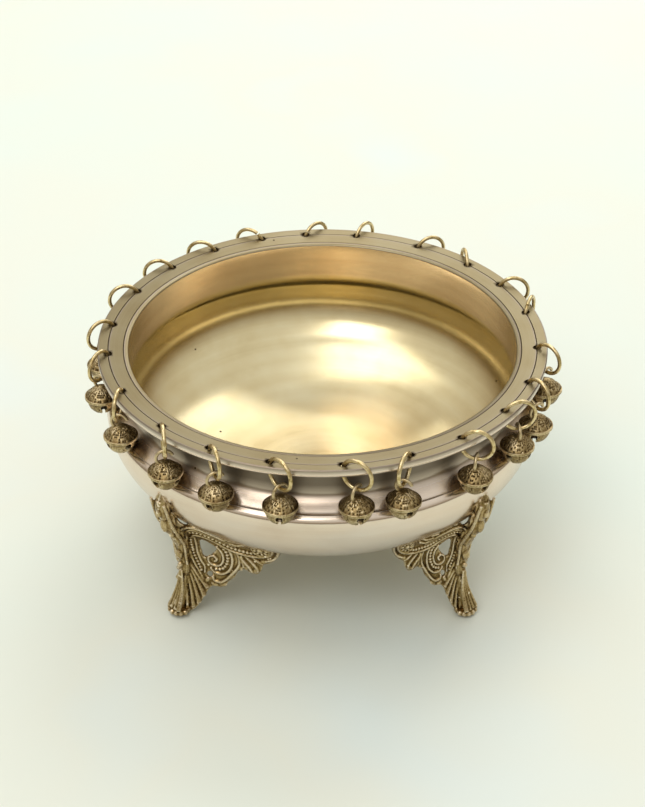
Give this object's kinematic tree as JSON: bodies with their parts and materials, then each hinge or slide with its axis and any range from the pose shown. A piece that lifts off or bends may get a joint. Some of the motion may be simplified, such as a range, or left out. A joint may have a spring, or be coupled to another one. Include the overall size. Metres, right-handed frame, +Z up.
{
  "type": "urli bowl with bells",
  "caption": "Wide shallow turned brass bowl on four openwork cast legs, with a fringe of small round bells on split rings through its flat rim.",
  "frame": {"origin": "on the floor, under the centre of the bowl", "axes": "+Z up along the bowl's axis; -Y is the front"},
  "size_m": [0.2443, 0.2424, 0.1248],
  "materials": {
    "turned_brass": "satin, turned on a lathe, pale antique brass",
    "cast_brass": "rough cast, dark in the recesses and rubbed bright on the ridges",
    "brass_wire": "smooth drawn wire, bright",
    "bell_brass": "cast, stippled and darkened"
  },
  "bodies": {
    "bowl": {"bowl": "turned_brass", "leg_front_left": "cast_brass", "leg_front_right": "cast_brass", "leg_back_right": "cast_brass", "leg_back_left": "cast_brass"},
    "ring_01": {"ring_01": "brass_wire"},
    "ring_02": {"ring_02": "brass_wire"},
    "ring_03": {"ring_03": "brass_wire"},
    "ring_04": {"ring_04": "brass_wire"},
    "ring_05": {"ring_05": "brass_wire"},
    "ring_06": {"ring_06": "brass_wire"},
    "ring_07": {"ring_07": "brass_wire"},
    "ring_08": {"ring_08": "brass_wire"},
    "ring_09": {"ring_09": "brass_wire"},
    "ring_10": {"ring_10": "brass_wire"},
    "ring_11": {"ring_11": "brass_wire"},
    "ring_12": {"ring_12": "brass_wire"},
    "ring_13": {"ring_13": "brass_wire"},
    "ring_14": {"ring_14": "brass_wire"},
    "ring_15": {"ring_15": "brass_wire"},
    "ring_16": {"ring_16": "brass_wire"},
    "ring_17": {"ring_17": "brass_wire"},
    "ring_18": {"ring_18": "brass_wire"},
    "ring_19": {"ring_19": "brass_wire"},
    "ring_20": {"ring_20": "brass_wire"},
    "ring_21": {"ring_21": "brass_wire"},
    "ring_22": {"ring_22": "brass_wire"},
    "bell_01": {"bell_01": "bell_brass"},
    "bell_02": {"bell_02": "bell_brass"},
    "bell_03": {"bell_03": "bell_brass"},
    "bell_04": {"bell_04": "bell_brass"},
    "bell_05": {"bell_05": "bell_brass"},
    "bell_06": {"bell_06": "bell_brass"},
    "bell_07": {"bell_07": "bell_brass"},
    "bell_08": {"bell_08": "bell_brass"},
    "bell_09": {"bell_09": "bell_brass"},
    "bell_10": {"bell_10": "bell_brass"},
    "bell_11": {"bell_11": "bell_brass"},
    "bell_12": {"bell_12": "bell_brass"},
    "bell_13": {"bell_13": "bell_brass"},
    "bell_14": {"bell_14": "bell_brass"},
    "bell_15": {"bell_15": "bell_brass"},
    "bell_16": {"bell_16": "bell_brass"},
    "bell_17": {"bell_17": "bell_brass"},
    "bell_18": {"bell_18": "bell_brass"},
    "bell_19": {"bell_19": "bell_brass"},
    "bell_20": {"bell_20": "bell_brass"},
    "bell_21": {"bell_21": "bell_brass"},
    "bell_22": {"bell_22": "bell_brass"}
  },
  "joints": [
    {"name": "ring_01_turn", "type": "hinge", "parent": "bowl", "child": "ring_01", "pos_m": [-0.00947, 0.10825, 0.118], "axis": [0, 0, 1], "range_deg": [-1, 109]},
    {"name": "bell_01_swing", "type": "hinge", "parent": "ring_01", "child": "bell_01", "pos_m": [-0.00388, 0.1131, 0.1082], "axis": [-0.7547, -0.6561, 0], "range_deg": [-28, 0]},
    {"name": "ring_02_turn", "type": "hinge", "parent": "bowl", "child": "ring_02", "pos_m": [0.01887, 0.10701, 0.118], "axis": [0, 0, 1], "range_deg": [-27, 80]},
    {"name": "bell_02_swing", "type": "hinge", "parent": "ring_02", "child": "bell_02", "pos_m": [0.02343, 0.11284, 0.1082], "axis": [-0.6157, -0.788, 0], "range_deg": [-28, 6]},
    {"name": "ring_03_turn", "type": "hinge", "parent": "bowl", "child": "ring_03", "pos_m": [0.05268, 0.09504, 0.118], "axis": [0, 0, 1], "range_deg": [-12, 98]},
    {"name": "bell_03_swing", "type": "hinge", "parent": "ring_03", "child": "bell_03", "pos_m": [0.05972, 0.09732, 0.1082], "axis": [-0.9511, -0.309, 0], "range_deg": [-28, 2]},
    {"name": "ring_04_turn", "type": "hinge", "parent": "bowl", "child": "ring_04", "pos_m": [0.07882, 0.0748, 0.118], "axis": [0, 0, 1], "range_deg": [-109, 1]},
    {"name": "bell_04_swing", "type": "hinge", "parent": "ring_04", "child": "bell_04", "pos_m": [0.07785, 0.08213, 0.1082], "axis": [0.1305, -0.9914, 0], "range_deg": [0, 28]},
    {"name": "ring_05_turn", "type": "hinge", "parent": "bowl", "child": "ring_05", "pos_m": [0.09457, 0.05351, 0.118], "axis": [0, 0, 1], "range_deg": [-23, 87]},
    {"name": "bell_05_swing", "type": "hinge", "parent": "ring_05", "child": "bell_05", "pos_m": [0.10197, 0.05318, 0.1082], "axis": [-0.999, 0.0436, 0], "range_deg": [-28, 6]},
    {"name": "ring_06_turn", "type": "hinge", "parent": "bowl", "child": "ring_06", "pos_m": [0.10566, 0.02537, 0.118], "axis": [0, 0, 1], "range_deg": [-109, 1]},
    {"name": "bell_06_swing", "type": "hinge", "parent": "ring_06", "child": "bell_06", "pos_m": [0.10849, 0.0322, 0.1082], "axis": [-0.3827, -0.9239, 0], "range_deg": [0, 28]},
    {"name": "ring_07_turn", "type": "hinge", "parent": "bowl", "child": "ring_07", "pos_m": [0.10833, -0.00852, 0.118], "axis": [0, 0, 1], "range_deg": [-13, 97]},
    {"name": "bell_07_swing", "type": "hinge", "parent": "ring_07", "child": "bell_07", "pos_m": [0.11342, -0.01389, 0.1082], "axis": [-0.6884, 0.7254, 0], "range_deg": [-28, 2]},
    {"name": "ring_08_turn", "type": "hinge", "parent": "bowl", "child": "ring_08", "pos_m": [0.1011, -0.03982, 0.118], "axis": [0, 0, 1], "range_deg": [-22, 88]},
    {"name": "bell_08_swing", "type": "hinge", "parent": "ring_08", "child": "bell_08", "pos_m": [0.1054, -0.04585, 0.1082], "axis": [-0.5807, 0.8141, 0], "range_deg": [-28, 6]},
    {"name": "ring_09_turn", "type": "hinge", "parent": "bowl", "child": "ring_09", "pos_m": [0.08735, -0.06463, 0.118], "axis": [0, 0, 1], "range_deg": [-100, 10]},
    {"name": "bell_09_swing", "type": "hinge", "parent": "ring_09", "child": "bell_09", "pos_m": [0.09467, -0.06354, 0.1082], "axis": [-0.989, -0.1478, 0], "range_deg": [0, 28]},
    {"name": "ring_10_turn", "type": "hinge", "parent": "bowl", "child": "ring_10", "pos_m": [0.06539, -0.08678, 0.118], "axis": [0, 0, 1], "range_deg": [-95, 15]},
    {"name": "bell_10_swing", "type": "hinge", "parent": "ring_10", "child": "bell_10", "pos_m": [0.0726, -0.08844, 0.1082], "axis": [-0.9744, 0.225, 0], "range_deg": [-2, 28]},
    {"name": "ring_11_turn", "type": "hinge", "parent": "bowl", "child": "ring_11", "pos_m": [0.0407, -0.10075, 0.118], "axis": [0, 0, 1], "range_deg": [-10, 100]},
    {"name": "bell_11_swing", "type": "hinge", "parent": "ring_11", "child": "bell_11", "pos_m": [0.03781, -0.10756, 0.1082], "axis": [0.3907, 0.9205, 0], "range_deg": [-28, 0]},
    {"name": "ring_12_turn", "type": "hinge", "parent": "bowl", "child": "ring_12", "pos_m": [0.00947, -0.10825, 0.118], "axis": [0, 0, 1], "range_deg": [-109, 1]},
    {"name": "bell_12_swing", "type": "hinge", "parent": "ring_12", "child": "bell_12", "pos_m": [0.01581, -0.11206, 0.1082], "axis": [-0.8572, 0.515, 0], "range_deg": [0, 28]},
    {"name": "ring_13_turn", "type": "hinge", "parent": "bowl", "child": "ring_13", "pos_m": [-0.02444, -0.10587, 0.118], "axis": [0, 0, 1], "range_deg": [-109, 1]},
    {"name": "bell_13_swing", "type": "hinge", "parent": "ring_13", "child": "bell_13", "pos_m": [-0.01959, -0.11146, 0.1082], "axis": [-0.6561, 0.7547, 0], "range_deg": [0, 28]},
    {"name": "ring_14_turn", "type": "hinge", "parent": "bowl", "child": "ring_14", "pos_m": [-0.05268, -0.09504, 0.118], "axis": [0, 0, 1], "range_deg": [-105, 5]},
    {"name": "bell_14_swing", "type": "hinge", "parent": "ring_14", "child": "bell_14", "pos_m": [-0.05003, -0.10194, 0.1082], "axis": [-0.3584, 0.9336, 0], "range_deg": [0, 28]},
    {"name": "ring_15_turn", "type": "hinge", "parent": "bowl", "child": "ring_15", "pos_m": [-0.07616, -0.0775, 0.118], "axis": [0, 0, 1], "range_deg": [-109, 1]},
    {"name": "bell_15_swing", "type": "hinge", "parent": "ring_15", "child": "bell_15", "pos_m": [-0.07494, -0.0848, 0.1082], "axis": [-0.165, 0.9863, 0], "range_deg": [0, 28]},
    {"name": "ring_16_turn", "type": "hinge", "parent": "bowl", "child": "ring_16", "pos_m": [-0.09766, -0.04763, 0.118], "axis": [0, 0, 1], "range_deg": [-109, 1]},
    {"name": "bell_16_swing", "type": "hinge", "parent": "ring_16", "child": "bell_16", "pos_m": [-0.09895, -0.05492, 0.1082], "axis": [0.1736, 0.9848, 0], "range_deg": [0, 28]},
    {"name": "ring_17_turn", "type": "hinge", "parent": "bowl", "child": "ring_17", "pos_m": [-0.10773, -0.01418, 0.118], "axis": [0, 0, 1], "range_deg": [-100, 5]},
    {"name": "bell_17_swing", "type": "hinge", "parent": "ring_17", "child": "bell_17", "pos_m": [-0.11171, -0.02042, 0.1082], "axis": [0.5373, 0.8434, 0], "range_deg": [0, 28]},
    {"name": "ring_18_turn", "type": "hinge", "parent": "bowl", "child": "ring_18", "pos_m": [-0.10785, 0.01324, 0.118], "axis": [0, 0, 1], "range_deg": [-100, 10]},
    {"name": "bell_18_swing", "type": "hinge", "parent": "ring_18", "child": "bell_18", "pos_m": [-0.11368, 0.00869, 0.1082], "axis": [0.788, 0.6157, 0], "range_deg": [0, 28]},
    {"name": "ring_19_turn", "type": "hinge", "parent": "bowl", "child": "ring_19", "pos_m": [-0.09807, 0.04678, 0.118], "axis": [0, 0, 1], "range_deg": [-97, 13]},
    {"name": "bell_19_swing", "type": "hinge", "parent": "ring_19", "child": "bell_19", "pos_m": [-0.10517, 0.04468, 0.1082], "axis": [0.9588, 0.284, 0], "range_deg": [-2, 28]},
    {"name": "ring_20_turn", "type": "hinge", "parent": "bowl", "child": "ring_20", "pos_m": [-0.08138, 0.072, 0.118], "axis": [0, 0, 1], "range_deg": [-100, 10]},
    {"name": "bell_20_swing", "type": "hinge", "parent": "ring_20", "child": "bell_20", "pos_m": [-0.08877, 0.07155, 0.1082], "axis": [0.9981, 0.061, 0], "range_deg": [0, 28]},
    {"name": "ring_21_turn", "type": "hinge", "parent": "bowl", "child": "ring_21", "pos_m": [-0.05918, 0.09113, 0.118], "axis": [0, 0, 1], "range_deg": [-105, 5]},
    {"name": "bell_21_swing", "type": "hinge", "parent": "ring_21", "child": "bell_21", "pos_m": [-0.06653, 0.09203, 0.1082], "axis": [0.9925, -0.1219, 0], "range_deg": [0, 28]},
    {"name": "ring_22_turn", "type": "hinge", "parent": "bowl", "child": "ring_22", "pos_m": [-0.03358, 0.10334, 0.118], "axis": [0, 0, 1], "range_deg": [-105, 5]},
    {"name": "bell_22_swing", "type": "hinge", "parent": "ring_22", "child": "bell_22", "pos_m": [-0.04044, 0.10611, 0.1082], "axis": [0.9272, -0.3746, 0], "range_deg": [0, 28]}
  ]
}
